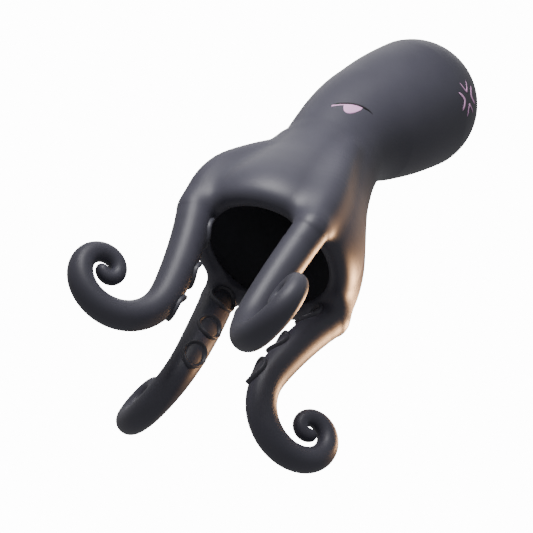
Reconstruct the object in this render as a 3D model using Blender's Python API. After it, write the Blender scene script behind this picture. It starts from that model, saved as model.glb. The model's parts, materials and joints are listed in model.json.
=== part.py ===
"""Soft octopus kite: a bell-shaped skirt that takes the wind, a head that nods behind it, and four
curled arms that each bend at three knuckles. Metres, +Z up; the octopus faces -Y. Everything is
made round the skirt's axis, and then moved so that the origin is under the whole kite's middle, at
the height of the arms' lowest points."""

import bpy
import bmesh
import numpy as np
from math import atan2, cos, pi, radians, sin, sqrt, tan
from mathutils import Matrix, Vector

# ---------------------------------------------------------------- driving dimensions (metres)
GAP = 0.0003                 # play between pieces that touch

ARM_RUN = 0.676              # length of an arm along its middle line
ARM_START_R = 0.182          # where an arm leaves the skirt, from the axis
ARM_STRAIGHT = 0.222         # the first stretch, before the curl
ARM_LEAN_TOP = radians(-107.9)       # its direction at the skirt: down and a little inwards
ARM_LEAN_END = radians(-93.8)        # its direction where the curl begins
CURL_START_R = 0.1365        # the curl's radius at its start; it shrinks evenly along the arm
CURL_END_R = 0.0088          # the curl's radius at the tip
CURL_STEPS = 340             # steps along the arm's middle line
CURL_SMOOTH = 23             # steps over which the straight stretch eases into the curl
COIL_SLIM = 0.93             # the solids are this much slimmer in the coil, so its turns stay apart
COIL_END = 0.962             # the coil's solid ends at this share of the arm
ARM_STATIONS = (0.0, 0.2, 0.4, 0.55, 0.7, 0.8, 0.9, 1.0)
ARM_RADII = (0.0370, 0.0356, 0.0322, 0.0302, 0.0266, 0.0214, 0.0174, 0.0140)
ARM_SIDES = 10

# name, bearing round the axis and tilt about its root in degrees, length against ARM_RUN, and how
# much further out its ridge stands half way up the skirt
ARMS = (
    ("front", -91.7, -1.4, 1.0023, 0.022),
    ("left", 1.1, 0.7, 1.0079, 0.002),
    ("right", 181.1, -5.0, 0.9945, 0.002),
    ("back", 87.5, -2.3, 1.000, 0.000),
)
MIDDLE_SHIFT = (-0.0146, 0.0025)     # from the skirt's axis to the origin, X and Y, turned round
KNUCKLES = (0.145, 0.430, 0.630)     # root, middle and coil joints, as shares of the arm
CUP_ANGLE = radians(60.0)            # how far round its ball a knuckle's cup reaches
CUP_RINGS = 2
CUP_ROOM = 1.0 / (cos(pi / 10) * cos(pi / 12))   # flat facets stay off the ball they turn round
SEGMENT_RINGS = (7, 7, 27)

SUCKERS = (                  # share of the arm, half length, half width
    (0.066, 0.0330, 0.0290),
    (0.222, 0.0285, 0.0250),
    (0.346, 0.0260, 0.0240),
)
SUCKER_PROUD = 0.0060        # how far a sucker's rim stands off the arm
SUCKER_SINK = 0.0060         # how far its foot reaches in, before the arm is taken away from it
SUCKER_SIDES = 14

MOUTH_ABOVE_ROOT = 0.0235    # the mouth's edge above the arms' start
WALL = 0.005
NECK_ABOVE_ROOT = 0.360
# outer outline of the skirt: distance from the axis, height above the mouth's edge
SKIRT_OUTLINE = (
    (0.1350, 0.000), (0.1460, -0.0080), (0.1630, -0.0085), (0.1780, 0.003), (0.1850, 0.026),
    (0.1830, 0.060), (0.1710, 0.105), (0.1510, 0.160), (0.1310, 0.215), (0.1175, 0.270),
    (0.1130, 0.3060),
)
SKIRT_STEPS = 2              # points between two of the outline's own
SECTOR_STEPS = 7             # steps round a quarter of the skirt or the head
# ridge that carries an arm up the skirt: distance from the axis, height above the arm's start, radius
RIDGE = (
    (0.1745, 0.036, 0.0352), (0.1690, 0.080, 0.0338), (0.1585, 0.130, 0.0318),
    (0.1415, 0.180, 0.0280), (0.1235, 0.230, 0.0235),
)
RIDGE_PEAK = (0.1150, 0.262)  # where a ridge runs out

HEAD_LEAN = radians(25.0)    # the head leans back from the skirt's axis
BEND_RUN = 0.140             # stretch of the neck over which it comes to lean
HEAD_CENTRE = 0.288          # from the neck's centre, along the head's axis
HEAD_R = 0.1455
NECK_BALL_R = 0.1050
NECK_NOD_CLEAR = 0.0297      # neck's seam below its centre
# outer outline of the head up to its widest place: distance from its axis, height over the neck
HEAD_OUTLINE = (
    (0.1115, -0.008), (0.1122, 0.030), (0.1190, 0.080), (0.1312, 0.145), (0.1415, 0.215),
    (0.1455, 0.288),
)
CROWN_ANGLE = radians(38.0)  # the crown's cap, from the head's axis
CROWN_RINGS = 4

EYE_BEARING = radians(61.7)  # each eye's middle, round the head from its face
EYE_HEIGHT = 0.0227          # the eye's inner corner over the neck
EYE_HALF = 0.030
EYE_DEEP = 0.0225            # the iris under its lid
EYE_RISE = 0.0303            # the lid rises this much to its outer end
LID_RUN = 0.0855             # length of the lid line
LID_THICK = 0.0032
PATCH_THICK = 0.0032         # a patch's face over the head, and how far its slab reaches in
PATCH_SINK = 0.0040

MARK_BEARING = radians(116.0)
MARK_HEIGHT = 0.318
MARK_STROKE = 0.0028         # half width of a stroke
MARK_CORNER = 0.0150         # from the mark's middle to a stroke's bend
MARK_WIDE = (0.0210, 0.0120)    # half spread and depth of the two wide strokes
MARK_STEEP = (0.0135, 0.0240)   # the same for the two steep ones

HOOP_ROD_R = 0.0045
TOW_EYE_HEIGHT = 0.070       # over the mouth's edge
TAB_HALF_W = 0.0110
TAB_THICK = 0.0040
TAB_DROP = 0.0460            # from the skirt's inner wall down to the eye
TAB_EYE_R = 0.0050
RING_R = 0.0105
RING_WIRE_R = 0.0018


# ---------------------------------------------------------------- finishes
def finish(name, colour, roughness, metallic=0.0):
    """A Principled material."""
    material = bpy.data.materials.new(name)
    material.use_nodes = True
    shader = material.node_tree.nodes["Principled BSDF"]
    shader.inputs["Base Color"].default_value = (*colour, 1.0)
    shader.inputs["Roughness"].default_value = roughness
    shader.inputs["Metallic"].default_value = metallic
    return material


# ---------------------------------------------------------------- mesh tools
def add_object(name, bm, material, pivot=Vector((0, 0, 0)), parent=None):
    """Put a mesh made in world places into an object whose origin is at pivot."""
    mesh = bpy.data.meshes.new(name)
    bm.transform(Matrix.Translation(-pivot))
    bmesh.ops.recalc_face_normals(bm, faces=bm.faces)
    bm.to_mesh(mesh)
    bm.free()
    mesh.materials.append(material)
    mesh.shade_smooth()
    mesh.set_sharp_from_angle(angle=radians(50))
    item = bpy.data.objects.new(name, mesh)
    bpy.context.scene.collection.objects.link(item)
    item.location = pivot
    if parent is not None:
        item.parent = parent
        item.location = pivot - parent_place(parent)
    return item


def parent_place(item):
    """World place of an empty that has no rotation, through its own parents."""
    place = item.location.copy()
    while item.parent is not None:
        item = item.parent
        place += item.location
    return place


def add_pivot(name, place, parent=None):
    """An empty on a joint's axis."""
    pivot = bpy.data.objects.new(name, None)
    pivot.empty_display_size = 0.03
    bpy.context.scene.collection.objects.link(pivot)
    pivot.location = place
    if parent is not None:
        pivot.parent = parent
        pivot.location = place - parent_place(parent)
    return pivot


def skin_rings(rings, first_tip=None, last_tip=None, closed=False, walls=False):
    """A closed body over rings of points. A tip point closes an end with a fan, and without one
    the end ring becomes a flat face. closed joins the last ring to the first. walls is for rings
    that are wall sections: each end is closed by a strip from the outer line to the inner one."""
    bm = bmesh.new()
    loops = [[bm.verts.new(p) for p in ring] for ring in rings]
    count = len(loops[0])
    pairs = list(zip(loops, loops[1:]))
    if closed:
        pairs.append((loops[-1], loops[0]))
    for low, high in pairs:
        for i in range(count):
            j = (i + 1) % count
            bm.faces.new((low[i], low[j], high[j], high[i]))
    if closed:
        return bm
    if walls:
        for loop in (loops[0], loops[-1]):
            for i in range(count // 2 - 1):
                bm.faces.new((loop[i], loop[i + 1], loop[count - 2 - i], loop[count - 1 - i]))
        return bm
    for loop, tip in ((loops[0], first_tip), (loops[-1], last_tip)):
        if tip is None:
            bm.faces.new(loop)
            continue
        peak = bm.verts.new(tip)
        for i in range(count):
            bm.faces.new((loop[i], loop[(i + 1) % count], peak))
    return bm


def cut_with(item, cutters):
    """Take the cutters away from an object and drop them."""
    for number, cutter in enumerate(cutters):
        cutter.hide_render = True
        cutter.display_type = "WIRE"
        cut = item.modifiers.new(f"cut_{number}", "BOOLEAN")
        cut.operation = "DIFFERENCE"
        cut.solver = "EXACT"
        cut.object = cutter


def eased(points, steps):
    """A smooth line through points (Catmull-Rom), with steps points from each one to the next."""
    pts = np.asarray(points, float)
    pts = np.vstack([2 * pts[0] - pts[1], pts, 2 * pts[-1] - pts[-2]])
    line = []
    for i in range(1, len(pts) - 2):
        p0, p1, p2, p3 = pts[i - 1:i + 3]
        for t in np.arange(steps) / steps:
            line.append(0.5 * (2 * p1 + (p2 - p0) * t + (2 * p0 - 5 * p1 + 4 * p2 - p3) * t * t
                               + (3 * p1 - p0 - 3 * p2 + p3) * t ** 3))
    line.append(pts[-2])
    return np.array(line)


def walled(outline, wall):
    """A closed section: the outline, and the same line moved in by the wall's thickness."""
    step = np.gradient(outline, axis=0)
    step /= np.linalg.norm(step, axis=1)[:, None]
    inner = outline + wall * np.stack([-step[:, 1], step[:, 0]], axis=1)
    inner[:, 0] = np.maximum(inner[:, 0], 0.0)
    return np.vstack([outline, inner[::-1]])


# ---------------------------------------------------------------- the arm's middle line
class ArmLine:
    """Middle line of an arm in its own plane: distance from the axis, height, direction, radius."""

    def __init__(self, tilt, size):
        s = np.linspace(0.0, ARM_RUN, CURL_STEPS + 1)
        shrink = (CURL_START_R - CURL_END_R) / (ARM_RUN - ARM_STRAIGHT)
        lean = ARM_LEAN_TOP + (ARM_LEAN_END - ARM_LEAN_TOP) * np.clip(s / ARM_STRAIGHT, 0, 1)
        past = np.clip(s - ARM_STRAIGHT, 0, None)
        curl = np.log(CURL_START_R / (CURL_START_R - shrink * past)) / shrink
        half = CURL_SMOOTH // 2
        padded = np.pad(lean + curl, half, mode="edge")
        self.heading = np.convolve(padded, np.ones(CURL_SMOOTH) / CURL_SMOOTH, "valid") + tilt
        middle = (self.heading[1:] + self.heading[:-1]) / 2
        step = ARM_RUN * size / CURL_STEPS
        self.s = s / ARM_RUN
        self.r = ARM_START_R + np.concatenate([[0], np.cumsum(np.cos(middle) * step)])
        self.z = np.concatenate([[0], np.cumsum(np.sin(middle) * step)])
        self.radius = np.interp(self.s, ARM_STATIONS, ARM_RADII)

    def at(self, share):
        """Distance from the axis, height under the start, direction and radius at a share."""
        return (float(np.interp(share, self.s, self.r)), float(np.interp(share, self.s, self.z)),
                float(np.interp(share, self.s, self.heading)),
                float(np.interp(share, self.s, self.radius)))


ARM_START_Z = max(float(np.max(line.radius - line.z)) for line in
                  (ArmLine(radians(tilt), size) for _, _, tilt, size, _ in ARMS))
MOUTH_Z = ARM_START_Z + MOUTH_ABOVE_ROOT
NECK = Vector((0.0, 0.0, ARM_START_Z + NECK_ABOVE_ROOT))


class Arm:
    """One arm: its line, its bearing, and the bodies that ride on it."""

    def __init__(self, name, bearing, line, swell, skin, pad):
        self.name = name
        self.line = line
        self.swell = swell
        self.out = Vector((cos(bearing), sin(bearing), 0.0))
        self.side = Vector((-sin(bearing), cos(bearing), 0.0))
        self.skin = skin
        self.pad = pad

    def place(self, r, z):
        """A point of the arm's plane in world places."""
        return self.out * r + Vector((0.0, 0.0, ARM_START_Z + z))

    def frame(self, share):
        """Middle point, direction along the arm, direction across it in its plane, and radius. The
        line runs on straight before the arm's start."""
        r, z, heading, radius = self.line.at(share)
        along = self.out * cos(heading) + Vector((0, 0, sin(heading)))
        back = self.out * -sin(heading) + Vector((0, 0, cos(heading)))
        return self.place(r, z) + along * min(share, 0.0) * ARM_RUN, along, back, radius

    def inner_frame(self, share):
        """The same, with the third direction towards the arm's inner side."""
        centre, along, back, radius = self.frame(share)
        return centre, along, back if back.dot(self.out) < 0 else -back, radius

    def ring(self, share, slim=1.0):
        """One ring of the tube."""
        centre, _, back, radius = self.frame(share)
        return self.circle(centre, back, radius * slim)

    def circle(self, centre, back, radius):
        """Points round a centre, in the plane of back and side."""
        turns = [2 * pi * i / ARM_SIDES for i in range(ARM_SIDES)]
        return [centre + back * (radius * cos(t)) + self.side * (radius * sin(t)) for t in turns]

    def cup(self, share):
        """Rings of a hollow cup round a knuckle's ball, from its bottom out to its rim."""
        centre, along, back, radius = self.frame(share)
        hollow = radius * CUP_ROOM + GAP
        rings = []
        for i in range(1, CUP_RINGS + 1):
            turn = CUP_ANGLE * i / CUP_RINGS
            rings.append(self.circle(centre + along * (hollow * cos(turn)), back, hollow * sin(turn)))
        return centre + along * hollow, rings

    def ball(self, share, slim=1.0):
        """Rings of the round end that a knuckle's ball gives the piece before it."""
        centre, along, back, radius = self.frame(share)
        radius *= slim
        rings = []
        for turn in (0.0, pi / 6, pi / 3):
            rings.append(self.circle(centre + along * (radius * sin(turn)), back, radius * cos(turn)))
        return rings, centre + along * radius

    def segment(self, start, end, count, slim_end):
        """A tube from a cup at start to a ball at end, or to the coil's round tip."""
        cup_tip, rings = self.cup(start)
        _, _, _, radius = self.frame(start)
        first = start + (radius * 1.02) / ARM_RUN
        for i in range(count):
            share = first + (end - first) * i / count
            slim = 1.0 - (1.0 - slim_end) * min(1.0, 2.5 * i / count)
            rings.append(self.ring(share, slim))
        ball_rings, tip = self.ball(end, slim_end)
        return skin_rings(rings + ball_rings, cup_tip, tip)


# ---------------------------------------------------------------- skirt
def quarter(name, section, middle, material, origin, parent=None):
    """A quarter of a turned shell, from a closed section of (distance, height) points."""
    rings = []
    for i in range(SECTOR_STEPS + 1):
        turn = middle - pi / 4 + (pi / 2) * i / SECTOR_STEPS
        rings.append([Vector((r * cos(turn), r * sin(turn), z)) for r, z in section])
    bm = skin_rings(rings, walls=True)
    shift = Vector((cos(middle), sin(middle), 0.0)) * GAP
    bm.transform(Matrix.Translation(shift))
    return add_turned(name, bm, material, origin, parent)


def leant(point):
    """A point of the upright head, carried into the bent neck and the leaning head."""
    height = min(max(point.z, 0.0), BEND_RUN)
    lean = HEAD_LEAN * height / BEND_RUN
    radius = BEND_RUN / HEAD_LEAN
    middle = Vector((0.0, radius * (1 - cos(lean)), radius * sin(lean)))
    along = Vector((0.0, sin(lean), cos(lean)))
    across = Vector((0.0, cos(lean), -sin(lean)))
    return middle + Vector((point.x, 0.0, 0.0)) + across * point.y + along * (point.z - height)


def add_turned(name, bm, material, origin, parent):
    """Put a turned piece on its origin, upright on the skirt or, with a parent, on the head."""
    if parent is None:
        bm.transform(Matrix.Translation(origin))
        return add_object(name, bm, material, origin)
    for vert in bm.verts:
        vert.co = leant(vert.co) + NECK
    return add_object(name, bm, material, NECK, parent)


def turned_solid(section, origin, steps=32):
    """A full turned body whose section starts and ends on the axis."""
    rings = []
    for r, z in section[1:-1]:
        turns = [2 * pi * i / steps for i in range(steps)]
        rings.append([origin + Vector((r * cos(t), r * sin(t), z)) for t in turns])
    first = origin + Vector((0, 0, section[0][1]))
    last = origin + Vector((0, 0, section[-1][1]))
    return skin_rings(rings, first, last)


def turned_ring(section, steps=32):
    """A full turned ring from a closed section that stays clear of the axis."""
    rings = []
    for i in range(steps):
        turn = 2 * pi * i / steps
        rings.append([Vector((r * cos(turn), r * sin(turn), z)) for r, z in section])
    return skin_rings(rings, closed=True)


def make_skirt(skin):
    """Four webs. Gives back the closed section of their wall: outer line, then inner line."""
    section = walled(eased(SKIRT_OUTLINE, SKIRT_STEPS), WALL)
    mouth = Vector((0.0, 0.0, MOUTH_Z))
    names = ("web_front_left", "web_back_left", "web_back_right", "web_front_right")
    for name, middle in zip(names, (-pi / 4, pi / 4, 3 * pi / 4, 5 * pi / 4)):
        quarter(name, section, middle, skin, mouth)
    return section


def make_neck_ring(skin):
    """A turned ball band with a flat seat on the webs' upper edge; the head nods on it."""
    low = -NECK_NOD_CLEAR
    seat = low + 0.003
    seat_r = sqrt(NECK_BALL_R ** 2 - seat ** 2)
    inner_r = NECK_BALL_R - 0.004
    section = [(sqrt(inner_r ** 2 - low ** 2), low), (SKIRT_OUTLINE[-1][0], low),
               (SKIRT_OUTLINE[-1][0], seat), (seat_r, seat)]
    for height in (-0.013, 0.0, 0.014, 0.031):
        section.append((sqrt(NECK_BALL_R ** 2 - height ** 2), height))
    for height in (0.031, 0.0, -0.015):
        section.append((sqrt(inner_r ** 2 - height ** 2), height))
    bm = turned_ring(section)
    bm.transform(Matrix.Translation(NECK))
    add_object("neck_ring", bm, skin, NECK)


def make_hoop(rod):
    """Sprung hoop that lies in the lip's fold and keeps the mouth open."""
    centre_r = SKIRT_OUTLINE[2][0] - 0.004
    centre_z = MOUTH_Z + SKIRT_OUTLINE[2][1] + WALL + HOOP_ROD_R + 2 * GAP
    section = []
    for i in range(6):
        turn = 2 * pi * i / 6
        section.append((centre_r + HOOP_ROD_R * cos(turn), centre_z + HOOP_ROD_R * sin(turn)))
    add_object("mouth_hoop", turned_ring(section), rod)


def make_skirt_cutter(outline):
    """The whole space that the skirt's outer line encloses, a gap larger all round."""
    step = np.gradient(outline, axis=0)
    step /= np.linalg.norm(step, axis=1)[:, None]
    grown = outline + 2 * GAP * np.stack([step[:, 1], -step[:, 0]], axis=1)
    section = [(0.0, grown[0][1] - GAP)] + [tuple(p) for p in grown] + [(0.0, grown[-1][1] + GAP)]
    bm = turned_solid(section, Vector((0.0, 0.0, MOUTH_Z)), 48)
    cutter = add_object("skirt_space", bm, finish("cutter", (0.5, 0.5, 0.5), 0.5))
    cutter.hide_render = True
    cutter.display_type = "WIRE"
    return cutter


# ---------------------------------------------------------------- arms
def make_shoulder(arm, skirt_space):
    """The ridge that carries an arm up the skirt, ending below in the root knuckle's ball."""
    downwards = [(r + arm.swell * sin(pi * (i + 1) / (len(RIDGE) + 1)), z, radius)
                 for i, (r, z, radius) in enumerate(RIDGE)][::-1]
    middles = [Vector((r, z)) for r, z, _ in downwards]
    first = arm.line.at(0.0)
    middles.append(Vector((first[0], first[1])))
    rows = []
    for i, (r, z, radius) in enumerate(downwards):
        ahead = (middles[i + 1] - middles[max(i - 1, 0)]).normalized()
        heading = atan2(ahead.y, ahead.x)
        back = arm.out * -sin(heading) + Vector((0, 0, cos(heading)))
        rows.append(arm.circle(arm.place(r, z), back, radius))
    for share in (0.0, 0.05, 0.10):
        rows.append(arm.ring(share))
    ball_rings, tip = arm.ball(KNUCKLES[0])
    bm = skin_rings(rows + ball_rings, arm.place(*RIDGE_PEAK), tip)
    shoulder = add_object(f"shoulder_{arm.name}", bm, arm.skin, arm.place(first[0], first[1]))
    cut_with(shoulder, [skirt_space])


def make_suckers(arm, bodies):
    """Raised oval rims with a dished pad on the arm's inner side; each foot follows the arm."""
    for number, (share, half_long, half_wide) in enumerate(SUCKERS):
        centre, _, inward, radius = arm.inner_frame(share)
        rows = []
        for grow, rise in ((1.00, -SUCKER_SINK), (1.00, 0.0), (0.92, SUCKER_PROUD),
                           (0.76, SUCKER_PROUD * 0.6)):
            ring = []
            for i in range(SUCKER_SIDES):
                turn = 2 * pi * i / SUCKER_SIDES
                v = grow * half_wide * sin(turn)
                near, _, near_in, near_r = arm.inner_frame(share + grow * half_long * cos(turn) / ARM_RUN)
                lift = sqrt(near_r ** 2 - v ** 2) + rise
                ring.append(near + near_in * lift + arm.side * v)
            rows.append(ring)
        pad = centre + inward * (radius + SUCKER_PROUD * 0.3)
        foot = centre + inward * (radius - SUCKER_SINK)
        name = f"sucker_{arm.name}_{number + 1}"
        sucker = add_object(name, skin_rings(rows, foot, pad), arm.pad, centre, bodies[number])
        reach = 1.4 * half_long / ARM_RUN
        sleeve = [arm.ring(share + reach * t, 1.0 + 2 * GAP / radius) for t in (-1, -0.5, 0, 0.5, 1)]
        cut_with(sucker, [add_object(f"sleeve_{name}", skin_rings(sleeve), arm.pad, centre)])


def make_arm(arm, skirt_space):
    """Shoulder, root segment, middle segment, coil and suckers of one arm."""
    make_shoulder(arm, skirt_space)
    pivots = []
    parent = None
    for label, share in zip(("root", "middle", "coil"), KNUCKLES):
        r, z, _, _ = arm.line.at(share)
        parent = add_pivot(f"{arm.name}_{label}_axis", arm.place(r, z), parent)
        pivots.append(parent)
    ends = (*KNUCKLES[1:], COIL_END)
    slims = (1.0, 1.0, COIL_SLIM)
    labels = ("root", "middle", "coil")
    for label, pivot, start, end, count, slim in zip(labels, pivots, KNUCKLES, ends, SEGMENT_RINGS,
                                                     slims):
        bm = arm.segment(start, end, count, slim)
        add_object(f"arm_{arm.name}_{label}", bm, arm.skin, parent_place(pivot), pivot)
    make_suckers(arm, (None, pivots[0], pivots[0]))


# ---------------------------------------------------------------- head
def dome_points(radius, turns):
    """Points of the round upper part of the head, by their angles from its axis."""
    return [(radius * sin(turn), HEAD_CENTRE + radius * cos(turn)) for turn in turns]


def make_head(skin):
    """Four gores and a crown cap round the head's own leaning axis."""
    nod = add_pivot("neck_axis", NECK)
    lower = eased(HEAD_OUTLINE, 2)
    dome = dome_points(HEAD_R, np.linspace(pi / 2, CROWN_ANGLE, CROWN_RINGS + 1)[1:])
    outline = np.vstack([lower, dome])
    section = walled(outline, WALL)
    names = ("gore_front_left", "gore_back_left", "gore_back_right", "gore_front_right")
    for name, middle in zip(names, (-pi / 4, pi / 4, 3 * pi / 4, 5 * pi / 4)):
        quarter(name, section, middle, skin, None, nod)
    edge = CROWN_ANGLE - 2 * GAP / HEAD_R
    cap = dome_points(HEAD_R, np.linspace(0, edge, CROWN_RINGS + 1))
    cap += dome_points(HEAD_R - WALL, np.linspace(edge, 0, CROWN_RINGS + 1))
    add_turned("crown", turned_solid(cap, Vector((0, 0, 0)), 4 * SECTOR_STEPS), skin, None, nod)
    return nod


def make_head_cutter(nod):
    """The whole space of the head, a little larger, which the thin patches are cut to."""
    grow = 3 * GAP
    section = [(0.0, HEAD_OUTLINE[0][1])] + [(r + grow, h) for r, h in eased(HEAD_OUTLINE, 2)]
    section += dome_points(HEAD_R + grow, np.linspace(pi / 2, CROWN_ANGLE, CROWN_RINGS + 1)[1:])
    section += dome_points(HEAD_R + grow, np.linspace(CROWN_ANGLE, 0, CROWN_RINGS + 1)[1:])
    bm = turned_solid(section, Vector((0, 0, 0)), 4 * SECTOR_STEPS)
    return add_turned("head_space", bm, finish("cutter", (0.5, 0.5, 0.5), 0.5), None, nod)


def head_surface(bearing, height):
    """Point and outward direction on the head, in the head's own frame. Bearing is counted from
    the face towards the octopus's left."""
    if height > HEAD_CENTRE:
        r = sqrt(max(HEAD_R ** 2 - (height - HEAD_CENTRE) ** 2, 0.0))
        slope = (HEAD_CENTRE - height) / max(r, 0.001)
    else:
        rs, hs = zip(*HEAD_OUTLINE)
        r = float(np.interp(height, hs, rs))
        slope = float(np.interp(height + 0.01, hs, rs) - np.interp(height - 0.01, hs, rs)) / 0.02
    round_out = Vector((sin(bearing), -cos(bearing), 0.0))
    return round_out * r + Vector((0, 0, height)), (round_out - Vector((0, 0, slope))).normalized()


def make_patch(name, outline, bearing, height, material, nod, head_space):
    """A thin patch on the head from a flat outline: sideways and up distances in metres."""
    top = []
    foot = []
    for across, up in outline:
        r = head_surface(bearing, height + up)[0].xy.length
        point, outward = head_surface(bearing + across / r, height + up)
        foot.append(point - outward * PATCH_SINK)
        top.append(point + outward * PATCH_THICK)
    item = add_turned(name, skin_rings([foot, top]), material, None, nod)
    cut_with(item, [head_space])


def lid_height(across):
    """Height of the lid line over the eye's inner corner, at a distance from the eye's middle."""
    run = min(max((across + EYE_HALF) / LID_RUN, 0.0), 1.0)
    return EYE_RISE * sin(run * pi / 2)


def eye_depth(across):
    """How far the eye reaches under its lid: thin at the inner corner, deepest at the iris."""
    iris = max(0.0, 1.0 - ((across - 0.40 * EYE_HALF) / (0.62 * EYE_HALF)) ** 2)
    return 0.0028 + EYE_DEEP * iris ** 0.8


def make_face(nod, lilac, line):
    """Eyes with their lids, and a four-stroke frown mark behind the crown's left side."""
    head_space = make_head_cutter(nod)
    for name, way in (("left", 1.0), ("right", -1.0)):
        spans = [EYE_HALF * t for t in np.linspace(-1, 1, 9)]
        eye = [(way * a, lid_height(a)) for a in spans]
        eye += [(way * a, lid_height(a) - eye_depth(a)) for a in reversed(spans)]
        make_patch(f"eye_{name}", eye, way * EYE_BEARING, EYE_HEIGHT, lilac, nod, head_space)
        spans = [LID_RUN * t - EYE_HALF for t in np.linspace(0, 1, 9)]
        lid = [(way * a, lid_height(a) + 0.0010) for a in spans]
        lid += [(way * a, lid_height(a) + 0.0010 + LID_THICK) for a in reversed(spans)]
        make_patch(f"lid_{name}", lid, way * EYE_BEARING, EYE_HEIGHT, line, nod, head_space)
    for number in range(4):
        turn = pi + number * pi / 2
        spread, depth = (MARK_STEEP, MARK_WIDE)[number % 2]
        stroke = []
        for side, spans in ((-1, np.linspace(-1, 1, 7)), (1, np.linspace(1, -1, 7))):
            for t in spans:
                away = MARK_CORNER + depth * abs(t) ** 1.4 + side * MARK_STROKE
                stroke.append((away * cos(turn) - spread * t * sin(turn),
                               away * sin(turn) + spread * t * cos(turn)))
        make_patch(f"frown_mark_{number + 1}", stroke, MARK_BEARING, MARK_HEIGHT, lilac, nod, head_space)


# ---------------------------------------------------------------- tow point
def tow_eye_r(section):
    """Distance of the tow eyes from the axis, so that a tab's upper corners meet the inner wall."""
    inner = section[len(section) // 2:][::-1]
    wall_r = float(np.interp(TOW_EYE_HEIGHT + TAB_DROP, inner[:, 1], inner[:, 0]))
    facet = TAB_HALF_W * tan(pi / (4 * SECTOR_STEPS))
    return wall_r - facet - GAP - TAB_THICK / 2


def make_tow_point(name, bearing, eye_r, webbing, metal):
    """A webbing tab on the skirt's inner wall, and the ring in its eye for a bridle."""
    out = Vector((cos(bearing), sin(bearing), 0.0))
    side = Vector((-sin(bearing), cos(bearing), 0.0))
    eye = out * eye_r + Vector((0, 0, MOUTH_Z + TOW_EYE_HEIGHT))
    outline = []
    for i in range(9):
        turn = pi + pi * i / 8
        outline.append((TAB_HALF_W * cos(turn), TAB_HALF_W * sin(turn)))
    outline += [(TAB_HALF_W, TAB_DROP), (-TAB_HALF_W, TAB_DROP)]
    rows = []
    for depth in (-TAB_THICK / 2, TAB_THICK / 2):
        rows.append([eye + side * a + Vector((0, 0, b)) + out * depth for a, b in outline])
    tab = add_object(f"tow_tab_{name}", skin_rings(rows), webbing, eye)
    turns = [2 * pi * i / 12 for i in range(12)]
    hole = []
    for depth in (-TAB_THICK, TAB_THICK):
        hole.append([eye + side * (TAB_EYE_R * cos(t)) + Vector((0, 0, TAB_EYE_R * sin(t)))
                     + out * depth for t in turns])
    cutter = add_object(f"tow_eye_{name}", skin_rings(hole), webbing, eye)
    cut_with(tab, [cutter])
    swing = add_pivot(f"tow_ring_{name}_axis", eye)
    centre = eye - Vector((0, 0, RING_R))
    rings = []
    for i in range(16):
        turn = 2 * pi * i / 16
        outward = out * sin(turn) + Vector((0, 0, cos(turn)))
        middle = centre + outward * RING_R
        rings.append([middle + outward * (RING_WIRE_R * cos(u)) + side * (RING_WIRE_R * sin(u))
                      for u in [2 * pi * j / 6 for j in range(6)]])
    add_object(f"tow_ring_{name}", skin_rings(rings, closed=True), metal, eye, swing)


# ---------------------------------------------------------------- build
def main():
    """Clear the scene and make the whole kite."""
    for item in list(bpy.data.objects):
        bpy.data.objects.remove(item, do_unlink=True)
    skin = finish("skin", (0.070, 0.068, 0.086), 0.55)
    pad = finish("sucker_skin", (0.040, 0.040, 0.050), 0.50)
    lilac = finish("lilac_patch", (0.90, 0.60, 0.87), 0.60)
    line = finish("lid_line", (0.010, 0.010, 0.014), 0.60)
    rod = finish("hoop_rod", (0.05, 0.05, 0.05), 0.40)
    webbing = finish("webbing", (0.03, 0.03, 0.035), 0.80)
    metal = finish("ring_metal", (0.55, 0.56, 0.58), 0.30, 1.0)
    section = make_skirt(skin)
    make_neck_ring(skin)
    make_hoop(rod)
    skirt_space = make_skirt_cutter(section[:len(section) // 2])
    for name, bearing, tilt, size, swell in ARMS:
        line_of_arm = ArmLine(radians(tilt), size)
        make_arm(Arm(name, radians(bearing), line_of_arm, swell, skin, pad), skirt_space)
    nod = make_head(skin)
    make_face(nod, lilac, line)
    eye_r = tow_eye_r(section)
    make_tow_point("front", -pi / 2, eye_r, webbing, metal)
    make_tow_point("back", pi / 2, eye_r, webbing, metal)
    for item in bpy.data.objects:
        if item.parent is None:
            item.location += Vector((*MIDDLE_SHIFT, 0.0))


main()
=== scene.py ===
"""Looks of the soft octopus kite: one continuous skin over the skirt, neck and head, four curled arms
that bend at three knuckles each, suckers with raised rims, heavy-lidded eyes and a small frown mark.

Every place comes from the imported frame's joints; sizes are metres and repeat the part's own."""

import json
import logging
from dataclasses import dataclass, field
from enum import Enum
from math import cos, pi, radians, sin

import bpy
import numpy as np
from mathutils import Matrix, Vector


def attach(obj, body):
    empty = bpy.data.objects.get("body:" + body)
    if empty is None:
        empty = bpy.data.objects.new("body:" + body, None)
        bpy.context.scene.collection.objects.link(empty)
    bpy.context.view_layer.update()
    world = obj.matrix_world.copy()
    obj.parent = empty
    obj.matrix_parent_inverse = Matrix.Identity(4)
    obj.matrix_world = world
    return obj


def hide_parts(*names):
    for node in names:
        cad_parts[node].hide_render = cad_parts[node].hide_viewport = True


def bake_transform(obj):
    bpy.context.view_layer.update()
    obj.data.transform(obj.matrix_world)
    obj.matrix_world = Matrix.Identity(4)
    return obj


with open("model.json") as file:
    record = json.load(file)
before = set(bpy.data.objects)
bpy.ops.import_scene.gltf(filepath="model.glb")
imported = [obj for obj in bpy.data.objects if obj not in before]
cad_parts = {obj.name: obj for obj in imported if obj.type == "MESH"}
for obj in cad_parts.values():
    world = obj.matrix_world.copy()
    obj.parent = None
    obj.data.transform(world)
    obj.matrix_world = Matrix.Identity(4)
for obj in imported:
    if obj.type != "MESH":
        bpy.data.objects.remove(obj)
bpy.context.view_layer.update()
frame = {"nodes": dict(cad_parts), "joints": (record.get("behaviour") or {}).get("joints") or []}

log = logging.getLogger("octopus_kite")
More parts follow.
